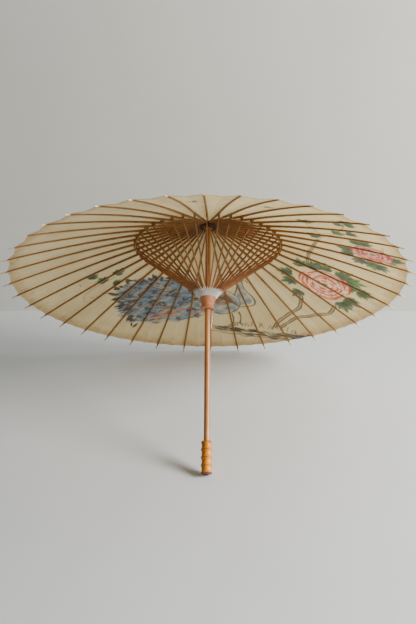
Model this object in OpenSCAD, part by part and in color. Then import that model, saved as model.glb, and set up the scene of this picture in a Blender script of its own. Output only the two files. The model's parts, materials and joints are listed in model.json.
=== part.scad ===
// Oil paper umbrella, open, resting on the floor on the end of its grip and the tips of its lowest ribs.
// Every piece is drawn upright, with the shaft along Z and the end of the grip at zero,
// and is then leaned over into its resting place. Lengths are in millimetres.

/* [Canopy] */
// Distance across the rib tips
canopy_d = 1000; // [960:5:1040]
// Height of the rib tips above the end of the grip, along the shaft
tip_z = 461; // [450:1:470]
// How far the ribs reach past the edge of the paper
tip_reach = 16; // [8:1:24]
// Thickness of the oiled paper
paper_t = 0.35; // [0.25:0.05:0.6]
// Outward bow of the free part of a rib
rib_bow = 5; // [0:0.5:8]

/* [Ribs and stretchers] */
// Widest width of a rib
rib_w = 4.3; // [3:0.1:5]
// Depth of a rib at its tip
rib_tip_h = 3; // [2.4:0.1:4]
// Depth of a rib beside its joint
rib_joint_h = 5.6; // [4.6:0.1:6.4]
// Distance from the shaft's axis to the pins of the stretcher joints
joint_r = 179.5; // [176:0.5:183]
// Height of the pins of the stretcher joints
joint_z = 564.5; // [561:0.5:567]
// Widest width of a stretcher
stretcher_w = 3; // [2.2:0.1:3.4]
// Depth of a stretcher
stretcher_h = 4; // [3:0.1:4.4]
// Angle that every rib turns through as the umbrella closes
fold_angle = 67; // [60:0.5:67]
// How much shorter the lowest rib is, and how much longer its two neighbours are, so that it stands on both of them
uneven_tip = 3.3; // [2.8:0.1:4]

/* [Shaft and grip] */
// Diameter of the shaft at the grip
shaft_low_d = 14.4; // [13.6:0.1:14.6]
// Diameter of the shaft at the head
shaft_top_d = 12.6; // [12:0.1:13]
// Length of the grip
grip_len = 76; // [70:1:84]
// Diameter over the ridges of the grip
grip_d = 27.2; // [25:0.2:29]
// Number of finger hollows
grip_hollows = 4; // [3:1:5]
// Depth of a finger hollow
grip_hollow_depth = 2; // [1:0.1:2.4]

/* [Head and runner] */
// Height of the hinge thread in the head
head_z = 627; // [624:0.5:630]
// Radius of the hinge thread in the head
head_thread_r = 16.5; // [16:0.1:17]
// Diameter of the notched head
head_d = 42; // [40:0.5:44]
// Height of the thread in the runner, with the umbrella open
runner_z = 437; // [434:0.5:438]
// Radius of the thread in the runner
runner_thread_r = 16; // [15.6:0.1:16.4]
// Diameter of the runner's notched rim
runner_d = 39; // [38:0.5:40]
// Diameter of the hinge threads
thread_d = 1; // [0.7:0.05:1.1]

/* [Hidden] */
rib_count = 40;
pitch = 360 / rib_count;
$fn = 48;

tip_r = canopy_d / 2;
paper_r = tip_r - tip_reach;
shaft_top_z = 655;
shaft_start_z = 18;
slot_w = 1.9;           // notches in the head and the runner
root_w = 1.5;           // rib and stretcher ends inside the notches
thread_hole_d = 1.5;
cheek_slot_w = 1.6;     // slot in a rib's boss for a stretcher's tongue
tongue_w = 1.1;
rib_clear = 0.4;        // gap between neighbouring ribs when closed
grip_end_r = 12;
grip_chamfer = 1.4;
runner_bore_d = 15.6;
runner_base_z = 402;
runner_top_z = 441;
paper_gap = 0.3;

// Centre line of a rib: straight from the head to the joint, then gently bowed to the tip
joint_rise = 10;        // from a joint's pin up to the middle of its rib
elbow_r = joint_r;
elbow_z = joint_z + joint_rise;
tip_mid_z = tip_z + rib_tip_h / 2;
function along_free(r) = (r - elbow_r) / (tip_r - elbow_r);
function rib_mid(r) = r < elbow_r
    ? head_z + (elbow_z - head_z) * (r - head_thread_r) / (elbow_r - head_thread_r)
    : elbow_z + (tip_mid_z - elbow_z) * along_free(r) + 4 * rib_bow * along_free(r) * (1 - along_free(r));
function rib_h(r) = r < elbow_r
    ? rib_joint_h
    : rib_joint_h + (rib_tip_h - rib_joint_h) * sqrt(along_free(r));
function rib_top(r) = rib_mid(r) + rib_h(r) / 2;
function rib_low(r) = rib_mid(r) - rib_h(r) / 2;
low_rib = rib_count / 2 + 1;
function rib_end_r(i) = i == low_rib ? tip_r - uneven_tip
    : abs(i - low_rib) == 1 ? tip_r + uneven_tip
    : tip_r;
rib_start_r = head_thread_r - 2.8;
rib_stations = [elbow_r, 215, 255, 300, 350, 400, 450];
boss_h = 3.4;           // of the boss below the joint's pin
boss_half = 5;
function rib_name(i) = str("rib_", i < 10 ? "0" : "", i);

// Leaned so that the end of the grip and the tips beside the lowest rib touch the floor
foot_r = rib_end_r(low_rib + 1);
back_r = rib_end_r(low_rib);
lean = atan2(rib_low(foot_r), foot_r * cos(pitch) - grip_end_r);
rest_lift = grip_end_r * sin(lean);
rest_front_y = tip_z * sin(lean) - tip_r * cos(lean);
rest_back_y = rib_top(back_r) * sin(lean) + back_r * cos(lean);
rest_mid_y = (rest_front_y + rest_back_y) / 2;

// Stretchers
stretcher_rise = atan2(joint_z - runner_z, joint_r - runner_thread_r);
stretcher_len = norm([joint_z - runner_z, joint_r - runner_thread_r]);

module rested() {
    translate([0, -rest_mid_y, rest_lift]) rotate([-lean, 0, 0]) children();
}

// One copy for each rib, counted from the highest one
module around() {
    for (i = [0:rib_count - 1]) rotate([0, 0, i * pitch]) children();
}

module ring(radius, height, wire_d) {
    rotate_extrude() translate([radius, height]) circle(d = wire_d);
}

module cross_hole(x, z, d, length) {
    translate([x, 0, z]) rotate([90, 0, 0]) cylinder(d = d, h = length, center = true);
}

// Radial notches, open at the rim and below
module notches(from_r, to_r, from_z, to_z) {
    around() translate([from_r, -slot_w / 2, from_z]) cube([to_r - from_r, slot_w, to_z - from_z]);
}

// ---- shaft and grip ----
node_ring_z = 292;      // natural ring in the cane
catch_low_z = 353;
catch_top_z = 399;
stop_pin_z = 442.6;
head_pin_z = 643;
function shaft_r(z) = (shaft_low_d + (shaft_top_d - shaft_low_d) * z / shaft_top_z) / 2;

module shaft() {
    color("burlywood") rested() difference() {
        rotate_extrude() polygon([
            [0, shaft_start_z], [shaft_r(0), shaft_start_z],
            [shaft_r(node_ring_z), node_ring_z - 2], [shaft_r(node_ring_z) + 0.35, node_ring_z],
            [shaft_r(node_ring_z), node_ring_z + 2],
            [shaft_r(shaft_top_z), shaft_top_z - 1], [shaft_r(shaft_top_z) - 1, shaft_top_z], [0, shaft_top_z]]);
        cross_hole(0, stop_pin_z, 2.2, 30);
        cross_hole(0, head_pin_z, 2.5, 30);
        translate([3.6, 0, catch_low_z]) rotate([0, 90, 0]) cylinder(d = 2.6, h = 8);
        translate([-3.4, -1.3, catch_low_z + 10]) cube([14, 2.6, catch_top_z + 3 - catch_low_z - 10]);
    }
}

module handle_grip() {
    hollow = (grip_len - 2 * grip_chamfer) / grip_hollows;
    big_r = (pow(hollow / 2 - 0.6, 2) + pow(grip_hollow_depth, 2)) / (2 * grip_hollow_depth);
    color("darkgoldenrod") rested() difference() {
        rotate_extrude() difference() {
            polygon([
                [0, 0], [grip_end_r, 0], [grip_end_r + grip_chamfer, grip_chamfer],
                [grip_d / 2, grip_chamfer * 2], [grip_d / 2, grip_len - 2],
                [grip_d / 2 - 2, grip_len], [0, grip_len]]);
            for (k = [0:grip_hollows - 1])
                translate([grip_d / 2 - grip_hollow_depth + big_r, grip_chamfer + hollow * (k + 0.5)])
                    circle(r = big_r, $fn = 64);
        }
        translate([0, 0, shaft_start_z]) cylinder(r = shaft_r(0), h = grip_len);
    }
}

// ---- head, with everything fixed to the top of the shaft ----
module head() {
    color("saddlebrown") rested() difference() {
        rotate_extrude() polygon([
            [shaft_r(shaft_top_z) + 0.6, 618], [head_d / 2 - 2, 618], [head_d / 2, 620],
            [head_d / 2, 634], [head_d / 2 - 3, 638], [14, 642], [12, 648], [shaft_r(shaft_top_z) + 0.6, 648]]);
        notches(head_thread_r - 4.6, head_d, 610, head_z + 4.8);
        ring(head_thread_r, head_z, thread_hole_d);
        cross_hole(0, head_pin_z, 2.5, 30);
    }
}

module head_thread() {
    color("wheat") rested() ring(head_thread_r, head_z, thread_d);
}

module head_pin() {
    color("tan") rested() cross_hole(0, head_pin_z, 2.4, 24);
}

module stop_pin() {
    color("tan") rested() cross_hole(0, stop_pin_z, 2.1, 19);
}

module cap_paper() {
    color("saddlebrown") rested() rotate_extrude() polygon([
        [8.4, 650], [12.6, 649.4], [15, 643.6], [24, 639.4], [40, 628.6],
        [40, 629.2], [24, 640], [15.6, 644.2], [13, 650], [8.4, 650.6]]);
}

module finial() {
    color("peru") rested() difference() {
        rotate_extrude() polygon([
            [0, 651], [9, 651], [9.6, 653], [8.6, 657], [6.4, 660], [6.8, 665], [6.2, 670], [4, 673.4], [0, 674.6]]);
        translate([0, 0, 640]) cylinder(r = shaft_r(shaft_top_z) + 0.05, h = shaft_top_z + 0.1 - 640);
    }
}

// ---- runner, with the stretchers laced to it ----
module runner() {
    color("sienna") rested() difference() {
        rotate_extrude() polygon([
            [runner_bore_d / 2, runner_base_z], [16.6, runner_base_z], [18, 403.4], [18, 405.6], [16.4, 407.6],
            [14.2, 409.8], [14, 412], [15, 416.4], [17.6, 422], [18.8, 427.6],
            [runner_d / 2, 432], [runner_d / 2, runner_top_z - 0.8],
            [runner_d / 2 - 0.8, runner_top_z], [runner_bore_d / 2, runner_top_z]]);
        around() translate([runner_thread_r - 3.6, -slot_w / 2, runner_z - 3.8])
            cube([20, slot_w, 20]);
        ring(runner_thread_r, runner_z, thread_hole_d);
    }
}

module runner_thread() {
    color("wheat") rested() ring(runner_thread_r, runner_z, thread_d);
}

lacing_start = 6;       // along the stretchers, from their thread
lacing_end = 23;
module runner_lacing() {
    under = stretcher_h / 2 + 0.25;
    color("whitesmoke") rested() rotate_extrude()
        translate([runner_thread_r, runner_z]) rotate(stretcher_rise)
            polygon([[lacing_start, -under - 0.9], [lacing_end, -under - 0.7], [lacing_end, -under], [lacing_start, -under]]);
}

// Narrow at both ends: a root in the runner's notch and a tongue in the rib's boss
stretcher_plan = [
    [-2.4, root_w / 2], [6, root_w / 2], [42, stretcher_w / 2],
    [stretcher_len - 20, stretcher_w / 2], [stretcher_len - 15, tongue_w / 2], [stretcher_len + 2.4, tongue_w / 2]];
module stretcher() {
    half = stretcher_plan;
    translate([runner_thread_r, 0, runner_z]) rotate([0, -stretcher_rise, 0]) difference() {
        linear_extrude(stretcher_h, center = true)
            polygon(concat(half, [for (k = [len(half) - 1:-1:0]) [half[k][0], -half[k][1]]]));
        cross_hole(0, 0, thread_hole_d, 8);
        cross_hole(stretcher_len, 0, thread_hole_d, 8);
    }
}

module stretchers() {
    color("peru") rested() around() stretcher();
}

// ---- ribs ----
function rib_outline(end_r) = concat(
    [[rib_start_r, rib_top(rib_start_r)], [rib_start_r + 30, rib_top(rib_start_r + 30)]],
    [for (r = rib_stations) [r, rib_top(r)]],
    [[end_r, rib_top(end_r)], [end_r, rib_low(end_r)]],
    [for (k = [len(rib_stations) - 1:-1:1]) [rib_stations[k], rib_low(rib_stations[k])]],
    [[joint_r + 14, rib_low(joint_r + 14)], [joint_r + boss_half, joint_z - boss_h - 1.4],
     [joint_r - boss_half, joint_z - boss_h + 1.8], [joint_r - 18, rib_low(joint_r - 18)],
     [rib_start_r + 4, rib_low(rib_start_r + 4)], [rib_start_r, rib_low(rib_start_r) + 1.2]]);
rib_plan = [
    [rib_start_r - 1, root_w / 2], [head_d / 2 + 2, root_w / 2], [62, rib_w / 2], [tip_r + uneven_tip + 1, rib_w / 2]];

// The room between two planes that one closed rib may fill, turned back to the open rib
module closed_room() {
    near_r = 8;
    far_r = 140;
    function half_room(r) = r * tan(pitch / 2) - rib_clear / 2;
    translate([head_thread_r, 0, head_z]) rotate([0, -fold_angle, 0]) translate([-head_thread_r, 0, -tip_r - 60])
        linear_extrude(tip_r + 90) polygon([
            [near_r, -half_room(near_r)], [far_r, -half_room(far_r)],
            [far_r, half_room(far_r)], [near_r, half_room(near_r)]]);
}

module rib_blank(end_r) {
    half = rib_plan;
    difference() {
        intersection() {
            rotate([90, 0, 0]) linear_extrude(rib_w + 1, center = true) polygon(rib_outline(end_r));
            translate([0, 0, tip_z - 20]) linear_extrude(240)
                polygon(concat(half, [for (k = [len(half) - 1:-1:0]) [half[k][0], -half[k][1]]]));
            closed_room();
        }
        cross_hole(head_thread_r, head_z, thread_hole_d, 8);
        cross_hole(joint_r, joint_z, thread_hole_d, 8);
        translate([joint_r - 20, -cheek_slot_w / 2, joint_z - 12]) cube([24, cheek_slot_w, 16]);
    }
}

// Ribs are counted from the highest one, towards -X first
module rib(i) {
    color("peru") rested() rotate([0, 0, 270 - (i - 1) * pitch]) rib_blank(rib_end_r(i));
}

module joint_thread() {
    color("wheat") rested() ring(joint_r, joint_z, thread_d);
}

// ---- paper ----
paper_start_r = 23;
paper_stations = concat([paper_start_r], rib_stations, [paper_r]);
paper_seam = 0.08;      // half the gap between neighbouring gores, above the middle of a rib
function paper_z(r) = rib_top(r) + paper_gap;

// The paper between two neighbouring ribs, which bends only where the ribs do
module paper_gore() {
    reach = cos(pitch / 2);
    from = paper_start_r * reach;
    to = paper_r * reach;
    count = len(paper_stations);
    intersection() {
        rotate([90, 0, 0]) linear_extrude(paper_r, center = true) polygon(concat(
            [for (r = paper_stations) [r * reach, paper_z(r) + paper_t]],
            [for (k = [count - 1:-1:0]) [paper_stations[k] * reach, paper_z(paper_stations[k])]]));
        translate([0, 0, tip_z]) linear_extrude(head_z - tip_z + 20) polygon([
            [from, paper_seam - from * tan(pitch / 2)], [to, paper_seam - to * tan(pitch / 2)],
            [to, to * tan(pitch / 2) - paper_seam], [from, from * tan(pitch / 2) - paper_seam]]);
    }
}

module canopy() {
    color("wheat") rested() rotate([0, 0, pitch / 2 + 270]) around() paper_gore();
}

module rim_thread() {
    color("wheat") rested() ring(paper_r + 1.2, rib_top(paper_r + 1.2) + paper_gap + 0.4, 0.8);
}

// ---- wire catch that holds the runner up ----
// Outline of a bent wire of the given thickness that follows the points
function unit(v) = v / norm(v);
function side_of(p, k) =
    let (back = k == 0 ? p[1] - p[0] : p[k] - p[k - 1],
         ahead = k == len(p) - 1 ? back : p[k + 1] - p[k],
         across = unit(unit(back) + unit(ahead)))
    [-across[1], across[0]] / (across * unit(back));
function wire_outline(p, t) = concat(
    [for (k = [0:len(p) - 1]) p[k] + side_of(p, k) * t / 2],
    [for (k = [len(p) - 1:-1:0]) p[k] - side_of(p, k) * t / 2]);

module catch_spring() {
    wire_d = 1.5;
    bend_r = shaft_r(catch_low_z) + 1.2;
    route = [[4.4, catch_low_z], [bend_r, catch_low_z], [13.4, catch_top_z], [5.2, catch_top_z]];
    color("silver") rested() rotate([90, 0, 0])
        linear_extrude(wire_d, center = true) polygon(wire_outline(route, wire_d));
}

shaft();
handle_grip();
runner();
runner_thread();
runner_lacing();
stretchers();
head();
head_thread();
head_pin();
stop_pin();
joint_thread();
rim_thread();
canopy();
cap_paper();
finial();
catch_spring();
for (i = [1:rib_count])
    rib(i);
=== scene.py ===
import json
from math import atan2, cos, pi, radians, sin, sqrt, tan

import bmesh
import bpy
import numpy as np
from mathutils import Matrix, Vector


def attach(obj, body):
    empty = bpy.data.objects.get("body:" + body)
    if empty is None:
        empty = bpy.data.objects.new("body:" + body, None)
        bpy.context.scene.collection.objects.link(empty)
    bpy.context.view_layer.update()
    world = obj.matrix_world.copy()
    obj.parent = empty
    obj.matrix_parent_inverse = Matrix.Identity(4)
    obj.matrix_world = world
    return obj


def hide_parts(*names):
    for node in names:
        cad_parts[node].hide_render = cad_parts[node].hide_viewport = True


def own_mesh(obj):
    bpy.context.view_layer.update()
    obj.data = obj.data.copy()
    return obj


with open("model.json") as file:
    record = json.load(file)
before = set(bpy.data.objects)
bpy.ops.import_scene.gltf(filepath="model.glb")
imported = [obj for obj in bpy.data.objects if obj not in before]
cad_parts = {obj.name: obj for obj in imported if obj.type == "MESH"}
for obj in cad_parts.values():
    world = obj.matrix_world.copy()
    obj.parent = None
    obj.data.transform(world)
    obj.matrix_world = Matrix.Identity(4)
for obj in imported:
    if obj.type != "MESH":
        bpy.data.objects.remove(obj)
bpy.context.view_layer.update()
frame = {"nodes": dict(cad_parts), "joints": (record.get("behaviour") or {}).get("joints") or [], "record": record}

scene = bpy.context.scene

# The umbrella is drawn upright in millimetres, shaft along Z and the end of the grip at zero,
# and is leaned into its resting place with the directions that the record gives
slideJoint = next(j for j in frame["joints"] if j["name"] == "runner_slide")
gripMount = next(m for m in frame["record"]["mounts"] if m["name"] == "grip_end")
shaftUp = -Vector(slideJoint["axis"]).normalized()
sideways = Vector((1, 0, 0))
leaned = Matrix((sideways, shaftUp.cross(sideways), shaftUp)).transposed()
gripEnd = Vector(gripMount["pos_m"])
turnBack = np.array(leaned).T


def rest(points):
    return np.asarray(points, float) * 0.001 @ turnBack + np.array(gripEnd)


# camera, as the umbrella is seen from in front and a little above
cameraSet = {
    "place": (0.0484, -2.492, 1.3356), "turn": 0.0194, "tilt": 66.98, "roll": -0.0074,
    "lens": 63.43, "sensor": 36,
}
cameraData = bpy.data.cameras.new("camera")
cameraData.sensor_width = cameraSet["sensor"]
cameraData.sensor_fit = "AUTO"
cameraData.lens = cameraSet["lens"]
camera = bpy.data.objects.new("camera", cameraData)
camera.matrix_world = (
    Matrix.Translation(cameraSet["place"])
    @ Matrix.Rotation(cameraSet["turn"], 4, "Z")
    @ Matrix.Rotation(radians(cameraSet["tilt"]), 4, "X")
    @ Matrix.Rotation(cameraSet["roll"], 4, "Z")
)
scene.collection.objects.link(camera)
scene.camera = camera
print("camera placed")


# small helpers for colours and shader trees
def shade(code):
    values = [int(code[k:k + 2], 16) / 255 for k in (0, 2, 4)]
    return tuple(v / 12.92 if v <= 0.04045 else ((v + 0.055) / 1.055) ** 2.4 for v in values)


def addNode(tree, kind, inputs=None, **settings):
    node = tree.nodes.new(kind)
    for key, value in settings.items():
        setattr(node, key, value)
    for key, value in (inputs or {}).items():
        if isinstance(value, bpy.types.NodeSocket):
            tree.links.new(value, node.inputs[key])
        else:
            node.inputs[key].default_value = value
    return node


def newMaterial(name, **plain):
    material = bpy.data.materials.new(name)
    material.use_nodes = True
    shader = material.node_tree.nodes["Principled BSDF"]
    for key, value in plain.items():
        shader.inputs[key.replace("_", " ")].default_value = value
    return material, material.node_tree, shader


def mathNode(tree, operation, first, second=0.0):
    return addNode(tree, "ShaderNodeMath", {0: first, 1: second}, operation=operation).outputs[0]


def times(tree, first, second):
    return mathNode(tree, "MULTIPLY", first, second)


def weighted(tree, first, share, second, otherShare):
    return mathNode(tree, "ADD", times(tree, first, share), times(tree, second, otherShare))


def ramp(tree, value, low, high, start=0.0, end=1.0):
    node = addNode(tree, "ShaderNodeMapRange", {
        "Value": value, "From Min": low, "From Max": high, "To Min": start, "To Max": end})
    return node.outputs["Result"]


def mixColour(tree, share, first, second, blend="MIX"):
    node = addNode(tree, "ShaderNodeMix", data_type="RGBA", blend_type=blend)
    for key, value in ((0, share), (6, first), (7, second)):
        if isinstance(value, bpy.types.NodeSocket):
            tree.links.new(value, node.inputs[key])
        elif key:
            node.inputs[key].default_value = (*value[:3], 1)
        else:
            node.inputs[key].default_value = value
    return node.outputs[2]


def tinted(tree, colour, mask, amount, code):  # a second colour where the mask lets it through
    return mixColour(tree, times(tree, mask, amount), colour, shade(code))


def colourIn(tree, shader, colour):
    tree.links.new(colour, shader.inputs["Base Color"])


def roughen(tree, shader, mask, low, high):
    tree.links.new(ramp(tree, mask, 0, 1, low, high), shader.inputs["Roughness"])


def blendShaders(tree, share, first, second):
    both = addNode(tree, "ShaderNodeMixShader", {0: share, 1: first.outputs[0], 2: second.outputs[0]})
    tree.links.new(both.outputs[0], tree.nodes["Material Output"].inputs["Surface"])


def attribute(tree, name):
    return addNode(tree, "ShaderNodeAttribute", attribute_name=name)


def noise(tree, vector, scale, detail, roughness):
    return addNode(tree, "ShaderNodeTexNoise", {
        "Vector": vector, "Scale": scale, "Detail": detail, "Roughness": roughness}).outputs["Fac"]


def uprightVector(tree):
    where = addNode(tree, "ShaderNodeTexCoord").outputs["Object"]
    return addNode(tree, "ShaderNodeMapping", {
        "Vector": where, "Location": gripEnd, "Rotation": leaned.to_euler()},
        vector_type="TEXTURE").outputs["Vector"]


def newGroup(name, inputs, outputs):
    group = bpy.data.node_groups.new(name, "ShaderNodeTree")
    for label, kind, value in inputs:
        socket = group.interface.new_socket(label, in_out="INPUT", socket_type=kind)
        if value is not None:
            socket.default_value = value
    for label in outputs:
        group.interface.new_socket(label, in_out="OUTPUT", socket_type="NodeSocketFloat")
    return group, group.nodes.new("NodeGroupInput"), group.nodes.new("NodeGroupOutput")


def makeFibreGroup():
    group, given, out = newGroup("lengthwiseFibre", [
        ("Vector", "NodeSocketVector", None),
        ("Stretch", "NodeSocketVector", (4, 160, 160)),
        ("Pores", "NodeSocketFloat", 0.5)], ["Streak", "Pore", "Height"])
    stretched = addNode(group, "ShaderNodeVectorMath", {
        0: given.outputs["Vector"], 1: given.outputs["Stretch"]}, operation="MULTIPLY").outputs[0]
    broad = noise(group, stretched, 1.0, 3.0, 0.55)
    fine = noise(group, stretched, 5.0, 4.0, 0.7)
    streak = weighted(group, broad, 0.6, fine, 0.4)
    pore = times(group, ramp(group, fine, 0.56, 0.72), given.outputs["Pores"])
    group.links.new(ramp(group, streak, 0.36, 0.64), out.inputs["Streak"])
    group.links.new(pore, out.inputs["Pore"])
    group.links.new(mathNode(group, "SUBTRACT", streak, pore), out.inputs["Height"])
    return group


def makeStainGroup():
    group, given, out = newGroup("softStain", [
        ("Vector", "NodeSocketVector", None),
        ("Size", "NodeSocketFloat", 20.0),
        ("Low", "NodeSocketFloat", 0.45),
        ("High", "NodeSocketFloat", 0.7)], ["Stain", "Speck"])
    where, size = given.outputs["Vector"], given.outputs["Size"]
    warp = noise(group, where, size, 5.0, 0.6)
    specks = noise(group, where, times(group, size, 9.0), 2.0, 0.5)
    patches = ramp(group, warp, given.outputs["Low"], given.outputs["High"])
    group.links.new(patches, out.inputs["Stain"])
    group.links.new(ramp(group, specks, 0.66, 0.76), out.inputs["Speck"])
    return group


fibreGroup = makeFibreGroup()
stainGroup = makeStainGroup()


def fibre(tree, vector, stretch, pores):
    node = addNode(tree, "ShaderNodeGroup", node_tree=fibreGroup)
    tree.links.new(vector, node.inputs["Vector"])
    node.inputs["Stretch"].default_value = stretch
    node.inputs["Pores"].default_value = pores
    return node.outputs


def stain(tree, vector, size, low=0.45, high=0.7):
    node = addNode(tree, "ShaderNodeGroup", node_tree=stainGroup)
    tree.links.new(vector, node.inputs["Vector"])
    for key, value in (("Size", size), ("Low", low), ("High", high)):
        node.inputs[key].default_value = value
    return node.outputs


def bump(tree, shader, height, strength, distance):
    node = addNode(tree, "ShaderNodeBump", {"Strength": strength, "Distance": distance, "Height": height})
    tree.links.new(node.outputs["Normal"], shader.inputs["Normal"])


# materials
def bambooMaterial(name, dark, light, pale):
    material, tree, shader = newMaterial(name, Specular_IOR_Level=0.4)
    where = attribute(tree, "grainAt").outputs["Vector"]
    grain = fibre(tree, where, (7, 420, 420), 0.7)
    patches = stain(tree, where, 26.0)
    tone = attribute(tree, "tone").outputs["Fac"]
    share = weighted(tree, grain["Streak"], 0.6, tone, 0.4)
    wood = mixColour(tree, share, shade(dark), shade(light))
    wood = tinted(tree, wood, patches["Stain"], 0.25, "5d3413")
    wood = tinted(tree, wood, grain["Pore"], 0.5, "4a280f")
    wood = tinted(tree, wood, attribute(tree, "nodeBand").outputs["Fac"], 0.55, "5a3416")
    wood = mixColour(tree, attribute(tree, "cutEnd").outputs["Fac"], wood, shade(pale))
    colourIn(tree, shader, wood)
    roughen(tree, shader, grain["Streak"], 0.42, 0.62)
    bump(tree, shader, grain["Height"], 0.35, 0.0004)
    return material


def turnedMaterial(name, dark, light, stretch, rough, **plain):
    material, tree, shader = newMaterial(name, **plain)
    where = uprightVector(tree)
    grain = fibre(tree, where, stretch, 0.6)
    marks = stain(tree, where, 30.0, 0.5, 0.75)
    wood = mixColour(tree, grain["Streak"], shade(dark), shade(light))
    wood = tinted(tree, wood, grain["Pore"], 0.6, "3b1d0c")
    wood = tinted(tree, wood, marks["Stain"], 0.3, "6b3a1c")
    wood = tinted(tree, wood, marks["Speck"], 0.35, "d9b48c")
    colourIn(tree, shader, wood)
    roughen(tree, shader, marks["Stain"], rough, rough + 0.16)
    bump(tree, shader, grain["Height"], 0.25, 0.0004)
    return material, tree, shader, where


def gripMaterial():
    material, tree, shader, where = turnedMaterial(
        "varnishedGrip", "95490a", "dd9026", (60, 60, 9), 0.34,
        Coat_Weight=0.15, Coat_Roughness=0.22, Specular_IOR_Level=0.25)
    height = addNode(tree, "ShaderNodeSeparateXYZ", {0: where}).outputs["Z"]
    above = mathNode(tree, "SUBTRACT", height, gripSet["firstRidge"])
    phase = times(tree, above, 2 * pi / gripSet["ridgeGap"])
    line = ramp(tree, mathNode(tree, "COSINE", phase), 0.93, 0.995)
    base = shader.inputs["Base Color"].links[0].from_socket
    lined = tinted(tree, base, line, 0.7, "5e2a08")
    # painted shade: the last 1.6 mm of the grip, its end face, is coloured dark brown to stand for the shade on
    # that end
    face = ramp(tree, height, 0.0016, 0.0004)
    colourIn(tree, shader, mixColour(tree, face, lined, shade("6b3814")))
    return material


def threadMaterial(name, dark, light, rough=0.75):
    material, tree, shader = newMaterial(name, Sheen_Weight=0.3)
    where = addNode(tree, "ShaderNodeTexCoord").outputs["Object"]
    twist = addNode(tree, "ShaderNodeTexWave", {
        "Vector": where, "Scale": 420.0, "Distortion": 1.6, "Detail": 1.0},
        bands_direction="DIAGONAL").outputs["Fac"]
    soil = stain(tree, where, 60.0, 0.4, 0.75)
    strand = mixColour(tree, twist, shade(dark), shade(light))
    colourIn(tree, shader, tinted(tree, strand, soil["Stain"], 0.4, dark))
    roughen(tree, shader, twist, rough + 0.1, rough)
    bump(tree, shader, twist, 0.4, 0.0003)
    return material


def wireMaterial():
    material, tree, shader = newMaterial("springWire", Metallic=1.0)
    where = addNode(tree, "ShaderNodeTexCoord").outputs["Object"]
    drawn = fibre(tree, where, (300, 300, 20), 0.3)
    rust = stain(tree, where, 90.0, 0.56, 0.72)
    steel = mixColour(tree, drawn["Streak"], shade("8c8f92"), shade("c4c7c9"))
    colourIn(tree, shader, tinted(tree, steel, rust["Stain"], 0.5, "7a5a40"))
    roughen(tree, shader, drawn["Streak"], 0.28, 0.45)
    return material


def paperMaterial():
    material, tree, shader = newMaterial("oiledPaper", Specular_IOR_Level=0.35, Sheen_Weight=0.15)
    where = attribute(tree, "flatAt").outputs["Vector"]
    reach = attribute(tree, "reach").outputs["Fac"]
    crease = attribute(tree, "crease").outputs["Fac"]
    paint = attribute(tree, "paint")
    broad = stain(tree, where, 7.0, 0.35, 0.7)
    oil = stain(tree, where, 19.0, 0.5, 0.72)
    mottle = stain(tree, where, 60.0, 0.52, 0.66)
    fibres = noise(tree, where, 900.0, 4.0, 0.7)
    drawnOut = addNode(tree, "ShaderNodeVectorMath", {0: where, 1: (1, 3.5, 1)}, operation="MULTIPLY")
    strands = addNode(tree, "ShaderNodeTexVoronoi", {
        "Vector": drawnOut.outputs[0], "Scale": 140.0}, feature="DISTANCE_TO_EDGE").outputs["Distance"]
    strand = ramp(tree, strands, 0.05, 0.0)
    colour = mixColour(tree, broad["Stain"], shade(paperSet["light"]), shade(paperSet["shade"]))
    spots = times(tree, mottle["Stain"], ramp(tree, reach, 0.43, 0.475))
    for mask, amount, code in (
        (oil["Stain"], 0.35, paperSet["oil"]), (strand, 0.12, "8c7446"),
        (ramp(tree, fibres, 0.35, 0.65), 0.14, "fff6df"), (crease, 0.3, paperSet["crease"]),
        (ramp(tree, reach, 0.452, 0.474), 0.5, paperSet["rim"]), (spots, 0.4, "6b5128"),
    ):
        colour = tinted(tree, colour, mask, amount, code)
    colour = mixColour(tree, paint.outputs["Alpha"], colour, paint.outputs["Color"])
    colourIn(tree, shader, colour)
    roughen(tree, shader, oil["Stain"], 0.62, 0.46)
    bump(tree, shader, weighted(tree, fibres, 0.3, broad["Stain"], 1.0), 0.3, 0.0006)
    through = addNode(tree, "ShaderNodeBsdfTranslucent")
    glow = mixColour(tree, 0.35, colour, shade(paperSet["glow"]), "MULTIPLY")
    tree.links.new(glow, through.inputs["Color"])
    blendShaders(tree, paperSet["seeThrough"], shader, through)
    return material


def capMaterial():
    material, tree, shader = newMaterial("lacqueredPaper", Coat_Weight=0.3, Coat_Roughness=0.3)
    where = uprightVector(tree)
    worn = stain(tree, where, 45.0, 0.5, 0.66)
    patches = stain(tree, where, 14.0, 0.4, 0.7)
    colour = mixColour(tree, patches["Stain"], shade("2c1710"), shade("4a2a1a"))
    colourIn(tree, shader, tinted(tree, colour, worn["Stain"], 0.5, "6e4a30"))
    roughen(tree, shader, worn["Stain"], 0.35, 0.6)
    bump(tree, shader, worn["Stain"], 0.3, 0.0004)
    return material


gripSet = {"firstRidge": 0.0014, "ridgeGap": 0.0183}
paperSet = {
    "light": "e6d3a0", "shade": "d6c088", "oil": "bd9c58", "crease": "f4e6c0", "rim": "b08745",
    "glow": "f4d890", "seeThrough": 0.34,
    "innerR": 23, "outerR": 484, "looseR": 60, "gap": 0.3, "dip": 3.6, "scallop": 4.0,
    "rows": 230, "columns": 32,
}
bamboo = bambooMaterial("splitBamboo", "6c451c", "aa7a42", "e0c79c")
stretcherBamboo = bambooMaterial("slimBamboo", "6e3e17", "ad7038", "d9b483")
cane = turnedMaterial("scrapedCane", "8c5526", "bb7f46", (90, 90, 5), 0.4)[0]
turned = turnedMaterial("stainedWood", "9c5c38", "c07e54", (120, 120, 18), 0.55)[0]
darkWood = turnedMaterial("smokedWood", "4a2c14", "6e4726", (120, 120, 18), 0.5)[0]
grip = gripMaterial()
thread = threadMaterial("waxedThread", "9c8058", "d8c197")
cotton = threadMaterial("cottonLacing", "c9c3b8", "f4f1ea", 0.85)
wire = wireMaterial()
oiledPaper = paperMaterial()
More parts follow.
